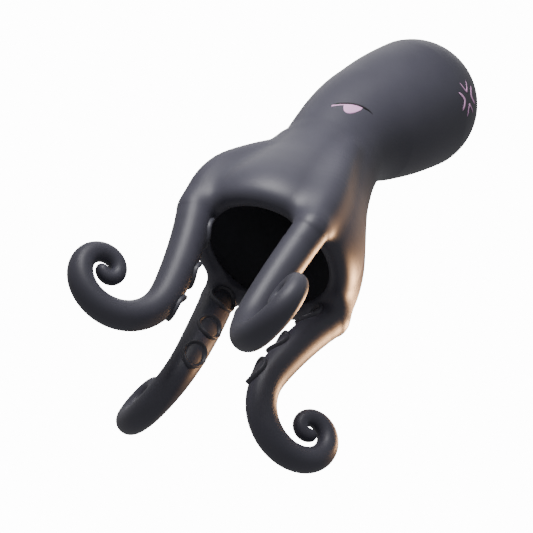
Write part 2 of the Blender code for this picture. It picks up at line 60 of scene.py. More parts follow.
JOINTS: dict[str, dict] = {joint["name"]: joint for joint in frame["joints"]}


class Detail(Enum):
    """How finely the meshes are made: skin cell and ring spacing in metres."""

    DRAFT = (0.0045, 0.0060)
    FULL = (0.0032, 0.0030)

    @property
    def cell(self) -> float:
        """Side of a cell of the skin's grid."""
        return self.value[0]

    @property
    def spacing(self) -> float:
        """Distance between two rings of an arm."""
        return self.value[1]


class Side(Enum):
    """Side of the octopus, by the sign of its own left."""

    LEFT = 1.0
    RIGHT = -1.0


DETAIL = Detail.FULL
NECK = Vector(JOINTS["neck_nod"]["pos_m"])
AXIS = np.array([NECK.x, NECK.y, 0.0])


# ---------------------------------------------------------------- mesh tools
def smooth_line(points: tuple, steps: int) -> np.ndarray:
    """A smooth line through points (Catmull-Rom).

    Args:
        points: the points, in order.
        steps: points from each one to the next.

    Returns:
        The line's points.
    """
    pts = np.asarray(points, float)
    pts = np.vstack([2 * pts[0] - pts[1], pts, 2 * pts[-1] - pts[-2]])
    t = (np.arange(steps) / steps)[:, None]
    line = []
    for i in range(1, len(pts) - 2):
        p0, p1, p2, p3 = pts[i - 1:i + 3]
        line.append(0.5 * (2 * p1 + (p2 - p0) * t + (2 * p0 - 5 * p1 + 4 * p2 - p3) * t ** 2
                           + (3 * p1 - p0 - 3 * p2 + p3) * t ** 3))
    line.append(pts[-2][None])
    return np.vstack(line)


def make_piece(name: str, points: np.ndarray, faces: list, finish: "Finish",
               normals: np.ndarray | None = None) -> bpy.types.Object:
    """A smooth-shaded piece from points and faces.

    Args:
        name: the piece's name.
        points: its points, one row each.
        faces: lists of point numbers, outsides anticlockwise.
        finish: its material's maker.
        normals: a normal for each corner of each face, where the faces alone don't give it.

    Returns:
        The piece.
    """
    mesh = bpy.data.meshes.new(name)
    mesh.from_pydata(np.asarray(points, float).tolist(), [], faces)
    mesh.shade_smooth()
    if normals is not None:
        mesh.normals_split_custom_set(normals.tolist())
    mesh.materials.append(finish.material())
    mesh.validate()
    piece = bpy.data.objects.new(name, mesh)
    bpy.context.scene.collection.objects.link(piece)
    log.info("%s: %d points, %d faces", name, len(points), len(faces))
    return piece


def grid_faces(rows: int, columns: int, wraps: bool) -> list:
    """Faces between neighbouring rows of a grid of points.

    Args:
        rows: number of rows.
        columns: points in a row.
        wraps: whether the last column meets the first.

    Returns:
        Lists of four point numbers.
    """
    faces = []
    for i in range(rows - 1):
        for j in range(columns if wraps else columns - 1):
            k = (j + 1) % columns
            faces.append([i * columns + j, i * columns + k, (i + 1) * columns + k,
                          (i + 1) * columns + j])
    return faces


def closed_sheet(top: np.ndarray, bottom: np.ndarray) -> tuple[np.ndarray, list]:
    """A closed body between two grids of points, joined round their rims.

    Args:
        top: rows by columns by 3, the outer side.
        bottom: the same, the inner side.

    Returns:
        Points and faces.
    """
    rows, columns = top.shape[:2]
    count = rows * columns
    upper = grid_faces(rows, columns, False)
    faces = upper + [[count + k for k in reversed(face)] for face in upper]
    rim = list(range(columns))
    rim += [i * columns + columns - 1 for i in range(1, rows)]
    rim += [(rows - 1) * columns + j for j in range(columns - 2, -1, -1)]
    rim += [i * columns for i in range(rows - 2, 0, -1)]
    for a, b in zip(rim, rim[1:] + rim[:1]):
        faces.append([b, a, count + a, count + b])
    return np.vstack([top.reshape(-1, 3), bottom.reshape(-1, 3)]), faces


def closed_rings(rings: np.ndarray, first: np.ndarray, last: np.ndarray) -> tuple[np.ndarray, list]:
    """A closed body over rings of points, with a tip point at each end.

    Args:
        rings: rings by sides by 3.
        first: the tip before the first ring.
        last: the tip after the last ring.

    Returns:
        Points and faces.
    """
    count, sides = rings.shape[:2]
    faces = grid_faces(count, sides, True)
    low = count * sides
    for j in range(sides):
        k = (j + 1) % sides
        faces.append([k, j, low])
        faces.append([(count - 1) * sides + j, (count - 1) * sides + k, low + 1])
    return np.vstack([rings.reshape(-1, 3), first, last]), faces


def faced_out(points: np.ndarray, faces: list) -> list:
    """The faces, turned over where their body's volume comes out negative.

    Args:
        points: the body's points.
        faces: its faces.

    Returns:
        Faces that look outwards.
    """
    volume = 0.0
    for face in faces:
        a, b, c = points[face[0]], points[face[1]], points[face[-1]]
        volume += float(np.dot(a, np.cross(b, c)))
        if len(face) == 4:
            volume += float(np.dot(b, np.cross(points[face[2]], c)))
    return faces if volume > 0 else [face[::-1] for face in faces]


def surface_of(values: np.ndarray, low: np.ndarray, cell: float) -> tuple[np.ndarray, np.ndarray]:
    """The surface where a grid of values crosses zero, one point to a cell that it crosses.

    Args:
        values: distances, negative inside, on a grid of points.
        low: the grid's first corner.
        cell: the grid's spacing.

    Returns:
        Points, and faces of four point numbers each, looking outwards.
    """
    inside = values < 0
    nx, ny, nz = values.shape
    corners = [(i, j, k) for i in (0, 1) for j in (0, 1) for k in (0, 1)]
    mixed = np.zeros((nx - 1, ny - 1, nz - 1), np.uint8)
    for i, j, k in corners:
        mixed += inside[i:nx - 1 + i, j:ny - 1 + j, k:nz - 1 + k]
    cells = np.argwhere((mixed > 0) & (mixed < len(corners)))
    number = np.full(mixed.shape, -1, np.int32)
    number[tuple(cells.T)] = np.arange(len(cells))
    at = {c: values[cells[:, 0] + c[0], cells[:, 1] + c[1], cells[:, 2] + c[2]] for c in corners}
    total = np.zeros((len(cells), 3))
    hits = np.zeros(len(cells))
    for a in corners:
        for axis in range(3):
            if a[axis]:
                continue
            b = tuple(1 if n == axis else a[n] for n in range(3))
            crossed = (at[a] < 0) != (at[b] < 0)
            share = np.where(crossed, at[a] / np.where(crossed, at[a] - at[b], 1), 0)
            place = np.tile(np.array(a, float), (len(cells), 1))
            place[:, axis] += share
            total += place * crossed[:, None]
            hits += crossed
    points = low + cell * (cells + total / hits[:, None])
    faces = []
    for axis in range(3):
        u, v = (axis + 1) % 3, (axis + 2) % 3
        ahead = [slice(None)] * 3
        ahead[axis] = slice(1, None)
        behind = [slice(None)] * 3
        behind[axis] = slice(0, -1)
        edges = np.argwhere(inside[tuple(ahead)] != inside[tuple(behind)])
        fits = (edges[:, u] > 0) & (edges[:, v] > 0)
        fits &= (edges[:, u] < values.shape[u] - 1) & (edges[:, v] < values.shape[v] - 1)
        edges = edges[fits]
        ring = []
        for du, dv in ((1, 1), (0, 1), (0, 0), (1, 0)):
            spot = edges.copy()
            spot[:, u] -= du
            spot[:, v] -= dv
            ring.append(number[tuple(spot.T)])
        quad = np.stack(ring, axis=1)
        starts_inside = inside[tuple(edges.T)]
        quad[~starts_inside] = quad[~starts_inside][:, ::-1]
        faces.append(quad)
    return points, np.vstack(faces)


def smooth_union(a: np.ndarray, b: np.ndarray, reach: float) -> np.ndarray:
    """Two bodies joined with a fillet.

    Args:
        a: distances to the first.
        b: distances to the second.
        reach: how near the surfaces come before they flow together.

    Returns:
        Distances to the joined body.
    """
    near = np.clip(reach - np.abs(a - b), 0, None) / reach
    return np.minimum(a, b) - near * near * reach / 4


# ---------------------------------------------------------------- finishes
def add_group(name: str, inputs: dict, outputs: dict) -> tuple:
    """A shader node group with named sockets.

    Args:
        name: the group's name.
        inputs: socket name to socket type and default.
        outputs: socket name to socket type.

    Returns:
        The group, its input node and its output node.
    """
    group = bpy.data.node_groups.new(name, "ShaderNodeTree")
    for label, (kind, default) in inputs.items():
        socket = group.interface.new_socket(label, in_out="INPUT", socket_type=kind)
        if default is not None:
            socket.default_value = default
    for label, kind in outputs.items():
        group.interface.new_socket(label, in_out="OUTPUT", socket_type=kind)
    return group, group.nodes.new("NodeGroupInput"), group.nodes.new("NodeGroupOutput")


def grain_group() -> bpy.types.NodeTree:
    """The fine grain and soft mottling of coated cloth, built once.

    Returns:
        The group.
    """
    if "coated_grain" in bpy.data.node_groups:
        return bpy.data.node_groups["coated_grain"]
    scalar = "NodeSocketFloat"
    group, source, sink = add_group(
        "coated_grain",
        {"Place": ("NodeSocketVector", None), "Light Colour": ("NodeSocketColor", None),
         "Deep Colour": ("NodeSocketColor", None), "Grain Scale": (scalar, 900.0),
         "Mottle Scale": (scalar, 9.0), "Roughness": (scalar, 0.5), "Spread": (scalar, 0.08)},
        {"Colour": "NodeSocketColor", "Roughness": scalar, "Height": scalar})
    nodes, links = group.nodes, group.links
    grain = nodes.new("ShaderNodeTexNoise")
    grain.inputs["Detail"].default_value = 2.0
    grain.inputs["Roughness"].default_value = 0.65
    pebble = nodes.new("ShaderNodeTexVoronoi")
    pebble.feature = "SMOOTH_F1"
    mottle = nodes.new("ShaderNodeTexNoise")
    mottle.inputs["Detail"].default_value = 4.0
    for texture, scale in ((grain, "Grain Scale"), (pebble, "Grain Scale"), (mottle, "Mottle Scale")):
        links.new(source.outputs["Place"], texture.inputs["Vector"])
        links.new(source.outputs[scale], texture.inputs["Scale"])
    shade = nodes.new("ShaderNodeMapRange")
    shade.inputs["From Min"].default_value = 0.25
    shade.inputs["From Max"].default_value = 0.75
    both = nodes.new("ShaderNodeMath")
    both.operation = "MULTIPLY_ADD"
    both.inputs[1].default_value = 0.35
    links.new(grain.outputs["Fac"], both.inputs[0])
    links.new(mottle.outputs["Fac"], both.inputs[2])
    offset = nodes.new("ShaderNodeMath")
    offset.operation = "SUBTRACT"
    offset.inputs[1].default_value = 0.175
    links.new(both.outputs[0], offset.inputs[0])
    links.new(offset.outputs[0], shade.inputs["Value"])
    mix = nodes.new("ShaderNodeMix")
    mix.data_type = "RGBA"
    links.new(shade.outputs["Result"], mix.inputs["Factor"])
    links.new(source.outputs["Deep Colour"], mix.inputs["A"])
    links.new(source.outputs["Light Colour"], mix.inputs["B"])
    links.new(mix.outputs["Result"], sink.inputs["Colour"])
    rough = nodes.new("ShaderNodeMath")
    rough.operation = "MULTIPLY_ADD"
    links.new(mottle.outputs["Fac"], rough.inputs[0])
    links.new(source.outputs["Spread"], rough.inputs[1])
    links.new(source.outputs["Roughness"], rough.inputs[2])
    links.new(rough.outputs[0], sink.inputs["Roughness"])
    height = nodes.new("ShaderNodeMath")
    height.operation = "ADD"
    links.new(grain.outputs["Fac"], height.inputs[0])
    links.new(pebble.outputs["Distance"], height.inputs[1])
    links.new(height.outputs[0], sink.inputs["Height"])
    return group


def weave_group() -> bpy.types.NodeTree:
    """Crossed threads of webbing and patches, built once.

    Returns:
        The group.
    """
    if "plain_weave" in bpy.data.node_groups:
        return bpy.data.node_groups["plain_weave"]
    scalar = "NodeSocketFloat"
    group, source, sink = add_group(
        "plain_weave", {"Place": ("NodeSocketVector", None), "Thread Scale": (scalar, 500.0)},
        {"Height": scalar})
    nodes, links = group.nodes, group.links
    waves = []
    for direction in ("X", "Z"):
        wave = nodes.new("ShaderNodeTexWave")
        wave.bands_direction = direction
        wave.inputs["Distortion"].default_value = 0.6
        links.new(source.outputs["Place"], wave.inputs["Vector"])
        links.new(source.outputs["Thread Scale"], wave.inputs["Scale"])
        waves.append(wave)
    join = nodes.new("ShaderNodeMath")
    join.operation = "MAXIMUM"
    links.new(waves[0].outputs["Fac"], join.inputs[0])
    links.new(waves[1].outputs["Fac"], join.inputs[1])
    links.new(join.outputs[0], sink.inputs["Height"])
    return group


@dataclass(frozen=True)
class Finish:
    """A finish of coated or woven cloth, plastic or metal."""

    name: str
    slot: str
    light: tuple[float, float, float]
    deep: tuple[float, float, float]
    roughness: float
    grain_scale: float = 900.0
    mottle_scale: float = 9.0
    grain_depth: float = 0.10
    weave: bool = False
    metallic: float = 0.0
    sheen: float = 0.0
    specular: float = 0.5
    coat: float = 0.0

    def material(self) -> bpy.types.Material:
        """The finish's material, built at its first use."""
        if self.name in bpy.data.materials:
            return bpy.data.materials[self.name]
        made = bpy.data.materials.new(self.name)
        made.use_nodes = True
        nodes, links = made.node_tree.nodes, made.node_tree.links
        shader = nodes["Principled BSDF"]
        place = nodes.new("ShaderNodeTexCoord")
        grain = nodes.new("ShaderNodeGroup")
        grain.node_tree = grain_group()
        grain.inputs["Light Colour"].default_value = (*self.light, 1.0)
        grain.inputs["Deep Colour"].default_value = (*self.deep, 1.0)
        grain.inputs["Grain Scale"].default_value = self.grain_scale
        grain.inputs["Mottle Scale"].default_value = self.mottle_scale
        grain.inputs["Roughness"].default_value = self.roughness - 0.04
        links.new(place.outputs["Object"], grain.inputs["Place"])
        bump = nodes.new("ShaderNodeBump")
        bump.inputs["Strength"].default_value = 0.5
        bump.inputs["Distance"].default_value = self.grain_depth * 0.001
        height = grain.outputs["Height"]
        if self.weave:
            threads = nodes.new("ShaderNodeGroup")
            threads.node_tree = weave_group()
            links.new(place.outputs["Object"], threads.inputs["Place"])
            height = threads.outputs["Height"]
        links.new(height, bump.inputs["Height"])
        links.new(grain.outputs["Colour"], shader.inputs["Base Color"])
        links.new(grain.outputs["Roughness"], shader.inputs["Roughness"])
        links.new(bump.outputs["Normal"], shader.inputs["Normal"])
        shader.inputs["Metallic"].default_value = self.metallic
        shader.inputs["Specular IOR Level"].default_value = self.specular
        shader.inputs["Sheen Weight"].default_value = self.sheen
        shader.inputs["Sheen Roughness"].default_value = 0.45
        shader.inputs["Coat Weight"].default_value = self.coat
        shader.inputs["Coat Roughness"].default_value = 0.45
        return made


SKIN = Finish("coated_skin", "skin", (0.068, 0.067, 0.091), (0.054, 0.053, 0.074), 0.48, sheen=0.06)
# The cavity's inner faces: the skin's colour made lighter, painted light standing in for the light that
# hardly gets in through the mouth.
CAVITY_PAINTED_LIGHT = Finish("dark_lining", "skin", (0.090, 0.090, 0.106), (0.074, 0.074, 0.090), 0.60, specular=0.3)
# The suckers: the skin's colour made a little darker, painted shade for the arms' shaded inner sides where
# they sit.
SUCKER_PAINTED_SHADE = Finish("sucker_skin_coat", "sucker_skin", (0.060, 0.060, 0.077), (0.044, 0.044, 0.059), 0.46,
                mottle_scale=30.0, sheen=0.08)
LILAC = Finish("lilac_cloth", "lilac_patch", (0.95, 0.52, 0.88), (0.90, 0.46, 0.83), 0.60,
               mottle_scale=60.0, grain_depth=0.05)
PIPING = Finish("black_piping", "lid_line", (0.014, 0.014, 0.018), (0.008, 0.008, 0.011), 0.55)
ROD = Finish("black_rod", "hoop_rod", (0.050, 0.050, 0.052), (0.040, 0.040, 0.042), 0.38,
             grain_depth=0.03, coat=0.2)
WEBBING = Finish("black_webbing", "webbing", (0.034, 0.034, 0.038), (0.024, 0.024, 0.028), 0.80,
                 weave=True, grain_depth=0.4)
STEEL = Finish("satin_steel", "ring_metal", (0.58, 0.59, 0.61), (0.50, 0.51, 0.53), 0.30,
               metallic=1.0, grain_depth=0.02)


# ---------------------------------------------------------------- the arm's middle line
@dataclass
class ArmPath:
    """Middle line of one arm in its own upright plane, and the arm's place on the skirt."""

    name: str
    tilt: float
    size: float
    swell: float
    run: float = 0.676
    straight: float = 0.222
    start_r: float = 0.182
    lean_top: float = radians(-107.9)
    lean_end: float = radians(-93.8)
    curl_start: float = 0.1365
    curl_end: float = 0.0088
    steps: int = 340
    smooth: int = 23
    stations: tuple = (0.0, 0.2, 0.4, 0.55, 0.7, 0.8, 0.9, 1.0)
    radii: tuple = (0.0370, 0.0356, 0.0322, 0.0302, 0.0266, 0.0214, 0.0174, 0.0140)
    knuckles: tuple = (0.145, 0.430, 0.630)
    out: np.ndarray = field(init=False)
    side: np.ndarray = field(init=False)
    start_z: float = field(init=False)

    def __post_init__(self) -> None:
        """Work out the line, and set it on the arm's joints."""
        s = np.linspace(0.0, self.run, self.steps + 1)
        shrink = (self.curl_start - self.curl_end) / (self.run - self.straight)
        share = np.clip(s / self.straight, 0, 1)
        lean = self.lean_top + (self.lean_end - self.lean_top) * share
        past = np.clip(s - self.straight, 0, None)
        curl = np.log(self.curl_start / (self.curl_start - shrink * past)) / shrink
        self.heading = self.rolled(lean + curl) + radians(self.tilt)
        middle = (self.heading[1:] + self.heading[:-1]) / 2
        step = self.run * self.size / self.steps
        self.s = s * self.size
        self.r = self.start_r + np.concatenate([[0], np.cumsum(np.cos(middle) * step)])
        self.z = np.concatenate([[0], np.cumsum(np.sin(middle) * step)])
        self.radius = self.rolled(np.interp(s / self.run, self.stations, self.radii))
        root = JOINTS[f"{self.name}_root_bend"]
        axis = np.array(root["axis"])
        self.side = -axis
        self.out = np.array([-axis[1], axis[0], 0.0])
        self.start_z = root["pos_m"][2] - float(np.interp(self.knuckle(0), self.s, self.z))

    def rolled(self, line: np.ndarray) -> np.ndarray:
        """A line of values, averaged over a short stretch."""
        padded = np.pad(line, self.smooth // 2, mode="edge")
        return np.convolve(padded, np.ones(self.smooth) / self.smooth, "valid")

    def knuckle(self, number: int) -> float:
        """Distance along the arm to one of its joints."""
        return self.knuckles[number] * self.run * self.size

    def frame_at(self, s: np.ndarray) -> tuple:
        """Middle points, directions across in the plane, and radii.

        Args:
            s: distances along the arm; it runs straight on past either end.

        Returns:
            Points, directions across and along, and radii.
        """
        s = np.atleast_1d(np.asarray(s, float))
        heading = np.interp(s, self.s, self.heading)
        beyond = s - np.clip(s, 0, self.s[-1])
        r = np.interp(s, self.s, self.r) + beyond * np.cos(heading)
        z = self.start_z + np.interp(s, self.s, self.z) + beyond * np.sin(heading)
        up = np.array([0.0, 0.0, 1.0])
        points = AXIS + r[:, None] * self.out + z[:, None] * up
        along = np.cos(heading)[:, None] * self.out + np.sin(heading)[:, None] * up
        across = -np.sin(heading)[:, None] * self.out + np.cos(heading)[:, None] * up
        return points, across, along, np.interp(s, self.s, self.radius)

    def skin_point(self, s: np.ndarray, turn: np.ndarray, lift: np.ndarray) -> np.ndarray:
        """Points on or over the arm's skin.

        Args:
            s: distances along the arm.
            turn: angles round it, from the direction across.
            lift: heights over the skin.

        Returns:
            The points.
        """
        points, across, _, radius = self.frame_at(s)
        reach = (radius + lift)[:, None]
        return points + reach * (np.cos(turn)[:, None] * across + np.sin(turn)[:, None] * self.side)

    def inner_turn(self, s: float) -> float:
        """The angle round the arm that faces the skirt's axis on the stretch before the coil."""
        across = self.frame_at(s)[1][0]
        return pi if float(across @ self.out) > 0 else 0.0


@dataclass
class Arm:
    """One curled arm: three skins that each run across one knuckle, and three suckers."""

    path: ArmPath
    sides: int = 44
    seam: float = 0.052
    zone: float = 0.026
    suckers: tuple = ((0.066, 0.0345, 0.0320), (0.222, 0.0310, 0.0285), (0.346, 0.0290, 0.0272))
    bead: float = 0.0074
    pad_height: float = 0.0012

    def skin(self, name: str, start: float, end: float, is_tip: bool) -> bpy.types.Object:
        """A stretch of the arm as a closed tube.

        Args:
            name: the piece's name.
            start: distance along the arm where it starts.
            end: where it ends, or where its round tip begins.
            is_tip: whether it ends in the arm's round tip.

        Returns:
            The piece.
        """
        count = max(8, int(round((end - start) / DETAIL.spacing)))
        stations = np.linspace(start, end, count + 1)
        lifts = np.zeros_like(stations)
        if is_tip:
            tip_radius = float(self.path.frame_at(end)[3][0])
            turns = np.linspace(0, pi / 2, 12)[1:-1]
            stations = np.concatenate([stations, end + tip_radius * np.sin(turns)])
            lifts = np.concatenate([lifts, tip_radius * (np.cos(turns) - 1)])
        angles = 2 * pi * np.arange(self.sides) / self.sides
        s = np.repeat(stations, self.sides)
        turn = np.tile(angles, len(stations))
        lift = np.repeat(lifts, self.sides)
        rings = self.path.skin_point(s, turn, lift).reshape(len(stations), self.sides, 3)
        middle, _, along, radius = self.path.frame_at(np.array([start, end]))
        first = middle[0] + along[0] * 0.006
        last = middle[1] + along[1] * (radius[1] if is_tip else -0.006)
        points, faces = closed_rings(rings, first, last)
        turned = faced_out(points, faces)
        normals = self.corner_normals(points, turned, stations, is_tip)
        return make_piece(name, points, turned, SKIN, normals)

    def corner_normals(self, points: np.ndarray, faces: list, stations: np.ndarray,
                       is_tip: bool) -> np.ndarray:
        """Normals that run on unbroken from one stretch of the arm to the next.

        Args:
            points: the tube's points.
            faces: its faces.
            stations: distances along the arm of its rings.
            is_tip: whether it ends in the arm's round tip.

        Returns:
            A normal for each corner of each face.
        """
        middle, across, along, _ = self.path.frame_at(stations)
        rings = points[:-2].reshape(len(stations), self.sides, 3)
        radial = rings - middle[:, None]
        radial /= np.linalg.norm(radial, axis=2)[:, :, None]
        slope = np.gradient(np.linalg.norm(rings - middle[:, None], axis=2)[:, 0], stations)
        grown = radial - slope[:, None, None] * along[:, None]
        grown /= np.linalg.norm(grown, axis=2)[:, :, None]
        smooth = np.vstack([grown.reshape(-1, 3), -along[0], along[-1]])
        low = len(points) - 2
        corners = []
        for face in faces:
            if low in face:
                corners += [-along[0]] * len(face)
            elif low + 1 in face and not is_tip:
                corners += [along[-1]] * len(face)
            else:
                corners += [smooth[k] for k in face]
        return np.array(corners)

    def make_skins(self) -> None:
        """The three skins, each cut to run across its own knuckle."""
        path = self.path
        name = path.name
        knuckles = [path.knuckle(i) for i in range(3)]
        cuts = [self.seam, (knuckles[0] + knuckles[1]) / 2, (knuckles[1] + knuckles[2]) / 2,
                path.run * path.size * 0.985]
        bodies = ("skirt", f"arm_{name}_root", f"arm_{name}_middle", f"arm_{name}_coil")
        labels = ("upper", "elbow", "curl")
        for i, label in enumerate(labels):
            piece = self.skin(f"arm_{name}_{label}_skin", cuts[i], cuts[i + 1], i == 2)
            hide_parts(bodies[i + 1])
            ends = path.frame_at(np.array([knuckles[i] - self.zone, knuckles[i] + self.zone]))[0]
            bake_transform(piece)

    def make_sucker(self, number: int) -> None:
        """One sucker: a raised rim, rounder towards the skirt, round a shallow pad.

        Args:
            number: its place along the arm, from 0.
        """
        share, half_long, half_wide = self.suckers[number]
        middle = share * self.path.run * self.path.size
        profile = ((0.0, self.pad_height), (0.40, self.pad_height), (0.68, self.pad_height * 1.1),
                   (0.745, self.pad_height * 1.1), (0.78, self.bead * 0.55), (0.825, self.bead * 0.90),
                   (0.885, self.bead), (0.945, self.bead * 0.90), (0.995, self.bead * 0.55),
                   (1.025, self.bead * 0.05), (1.02, -0.003), (0.95, -0.009), (0.50, -0.010))
        line = smooth_line(profile, 3)
        sides = 48
        turns = 2 * pi * np.arange(sides) / sides
        facing = self.path.inner_turn(middle)
        rings = []
        for grow, lift in line[1:]:
            lengthways = grow * half_long * np.cos(turns)
            narrow = 1.0 - 0.16 * np.clip(np.cos(turns), 0, 1)
            crossways = grow * half_wide * np.sin(turns) * narrow
            s = middle + lengthways
            radius = self.path.frame_at(s)[3]
            angle = facing + crossways / radius
            rings.append(self.path.skin_point(s, angle, np.full(sides, lift)))
        spot = np.array([middle])
        ends = [self.path.skin_point(spot, np.array([facing]), np.array([lift]))[0]
                for lift in (line[0][1], line[-1][1])]
        points, faces = closed_rings(np.array(rings), ends[0], ends[1])
        name = self.path.name
        # The sucker's darker finish is painted shade.
        piece = make_piece(f"sucker_{name}_{number + 1}_rim", points, faced_out(points, faces), SUCKER_PAINTED_SHADE)
        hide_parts(f"sucker_{name}_{number + 1}")
        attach(piece, "skirt" if number == 0 else f"arm_{name}_root")

    def build(self) -> None:
        """The arm's skins and suckers."""
        self.make_skins()
        for number in range(len(self.suckers)):
            self.make_sucker(number)


# ---------------------------------------------------------------- skirt, neck and head
@dataclass
class Trunk:
    """The one skin of skirt, neck and head, hollow and open at the mouth."""

    paths: list
    neck: Vector
    mouth_z: float
    wall: float = 0.008
    head_lean: float = radians(25.0)
    bend_run: float = 0.140
    head_centre: float = 0.288
    head_r: float = 0.1455
    fillet: float = 0.034
    skirt_line: tuple = ((0.1350, 0.000), (0.1460, -0.0080), (0.1630, -0.0085), (0.1780, 0.003),
                         (0.1850, 0.026), (0.1830, 0.060), (0.1710, 0.105), (0.1510, 0.160),
                         (0.1310, 0.215), (0.1175, 0.270), (0.1130, 0.3060))
    head_line: tuple = ((0.1115, -0.008), (0.1122, 0.030), (0.1190, 0.080), (0.1312, 0.145),
                        (0.1415, 0.215), (0.1455, 0.288))
    ridge: tuple = ((0.1040, 0.300, 0.0100), (0.1130, 0.262, 0.0160), (0.1235, 0.230, 0.0218),
                    (0.1415, 0.180, 0.0272), (0.1585, 0.130, 0.0312), (0.1690, 0.080, 0.0336),
                    (0.1745, 0.036, 0.0352))
    ridge_rings: int = 6
    line: np.ndarray = field(init=False)

    def __post_init__(self) -> None:
        """Join the outline from the mouth's edge to the crown."""
        points = [(r, self.mouth_z + h) for r, h in self.skirt_line]
        points += [(r, self.neck.z + h) for r, h in self.head_line]
        centre = self.neck.z + self.head_centre
        for turn in np.linspace(pi / 2, 0, 10)[1:]:
            points.append((self.head_r * sin(turn), centre + self.head_r * cos(turn)))
        self.line = smooth_line(tuple(points), 6)
        self.line[:, 0] = np.clip(self.line[:, 0], 0, None)

    def leant(self, points: np.ndarray) -> np.ndarray:
        """Points of the upright head, carried into the bent neck and the leaning head.

        Args:
            points: the points, one row each.

        Returns:
            Their real places.
        """
        up = points[:, 2] - self.neck.z
        height = np.clip(up, 0, self.bend_run)
        lean = self.head_lean * height / self.bend_run
        bend = self.bend_run / self.head_lean
        rest = up - height
        y = bend * (1 - np.cos(lean)) + np.cos(lean) * points[:, 1] + np.sin(lean) * rest
        z = bend * np.sin(lean) - np.sin(lean) * points[:, 1] + np.cos(lean) * rest
        return AXIS + np.stack([points[:, 0], y, self.neck.z + z], axis=1)

    def outline_distance(self, r: np.ndarray, z: np.ndarray) -> np.ndarray:
        """Signed distances to the filled outline, negative inside.

        Args:
            r: distances from the axis.
            z: heights.

        Returns:
            The distances.
        """
        a = np.vstack([[0.0, self.line[0][1]], self.line])
        best = np.full(r.shape, 1.0)
        crossings = np.zeros(r.shape, int)
        for (r0, z0), (r1, z1) in zip(a[:-1], a[1:]):
            dr, dz = r1 - r0, z1 - z0
            share = np.clip(((r - r0) * dr + (z - z0) * dz) / max(dr * dr + dz * dz, 1e-12), 0, 1)
            best = np.minimum(best, np.hypot(r - r0 - share * dr, z - z0 - share * dz))
            if abs(dz) > 1e-12:
                spans = (z0 > z) != (z1 > z)
                crossings += spans & (r < r0 + (z - z0) * dr / dz)
        return np.where(crossings % 2 == 1, -best, best)

    def ridge_distance(self, path: ArmPath, grid: tuple) -> np.ndarray:
        """Distances to the ridge that carries an arm up the skirt, and to the arm's first stretch.

        Args:
            path: the arm's line.
            grid: x, y and z of the places, as flat lists.

        Returns:
            The distances.
        """
        stations = np.linspace(0.0, 0.072, 7)
        points, _, _, radii = path.frame_at(stations)
        radii = radii - 0.0012 * np.clip((stations - 0.036) / 0.036, 0, 1)
        ridge = []
        for i, (r, z, radius) in enumerate(reversed(self.ridge)):
            swell = path.swell * sin(pi * min((i + 1) / self.ridge_rings, 1.0))
            ridge.insert(0, (r + swell, path.start_z + z, radius))
        ridge += [(float((p - AXIS) @ path.out), float(p[2]), float(q)) for p, q in zip(points, radii)]
        line = smooth_line(tuple(ridge), 3)
        x, y, z = grid
        r = x * path.out[0] + y * path.out[1]
        w = x * path.side[0] + y * path.side[1]
        best = np.full(r.shape, 1.0)
        for (r0, z0, q0), (r1, z1, q1) in zip(line[:-1], line[1:]):
            dr, dz = r1 - r0, z1 - z0
            share = np.clip(((r - r0) * dr + (z - z0) * dz) / (dr * dr + dz * dz), 0, 1)
            away = np.sqrt((r - r0 - share * dr) ** 2 + (z - z0 - share * dz) ** 2 + w * w)
            best = np.minimum(best, away - (q0 + share * (q1 - q0)))
        return best

    def skin_values(self, low: np.ndarray, counts: np.ndarray, cell: float) -> np.ndarray:
        """Distances to the upright skin on a grid.

        Args:
            low: the grid's first corner.
            counts: its points along each axis.
            cell: its spacing.

        Returns:
            The distances, negative in the wall.
        """
        xs, ys, zs = (low[i] + cell * np.arange(counts[i]) for i in range(3))
        x, y = np.meshgrid(xs, ys, indexing="ij")
        r = np.hypot(x, y)
        table_r = np.arange(0.0, float(r.max()) + 0.0015, 0.0015)
        table = self.outline_distance(*np.meshgrid(table_r, zs, indexing="ij"))
        filled = np.stack([np.interp(r, table_r, table[:, k]) for k in range(len(zs))], axis=2)
        cavity = filled + self.wall
        open_r = self.skirt_line[0][0] - 0.001
        through = np.maximum(r[:, :, None] - open_r, np.abs(zs - self.mouth_z)[None, None] - 0.012)
        cavity = np.minimum(cavity, through)
        body = filled
        for path in self.paths:
            high = path.start_z + self.ridge[0][1] + 0.06
            reach_r = x * path.out[0] + y * path.out[1]
            reach_w = np.abs(x * path.side[0] + y * path.side[1])
            near = (reach_r > 0.05) & (reach_w < 0.085)
            layers = zs < high
            i, j = np.nonzero(near)
            k = np.nonzero(layers)[0]
            grid = (x[i, j][:, None], y[i, j][:, None], zs[k][None])
            tube = self.ridge_distance(path, np.broadcast_arrays(*grid))
            part = body[i[:, None], j[:, None], k[None]]
            body[i[:, None], j[:, None], k[None]] = smooth_union(part, tube, self.fillet)
        return np.maximum(body, -cavity)

    def surface(self, bearing: np.ndarray, height: np.ndarray) -> np.ndarray:
        """Points on the head's skin.

        Args:
            bearing: angles round the head from its face towards its left.
            height: heights over the neck's joint, along the upright head.

        Returns:
            The points.
        """
        z = self.neck.z + height
        start = int(np.argmin(self.line[:60, 1]))
        r = np.interp(z, self.line[start:, 1], self.line[start:, 0])
        upright = np.stack([r * np.sin(bearing), -r * np.cos(bearing), z], axis=-1)
        return self.leant(upright.reshape(-1, 3)).reshape(upright.shape)

    def over_head(self, bearing: np.ndarray, height: np.ndarray, lift: np.ndarray) -> np.ndarray:
        """Points at a height over the head's skin.

        Args:
            bearing: angles round the head from its face towards its left.
            height: heights over the neck's joint.
            lift: distances out from the skin.

        Returns:
            The points.
        """
        step = 1e-3
        round_way = self.surface(bearing + step, height) - self.surface(bearing - step, height)
        up_way = self.surface(bearing, height + step) - self.surface(bearing, height - step)
        outward = np.cross(round_way, up_way)
        outward /= np.linalg.norm(outward, axis=-1)[..., None]
        return self.surface(bearing, height) + outward * lift[..., None]

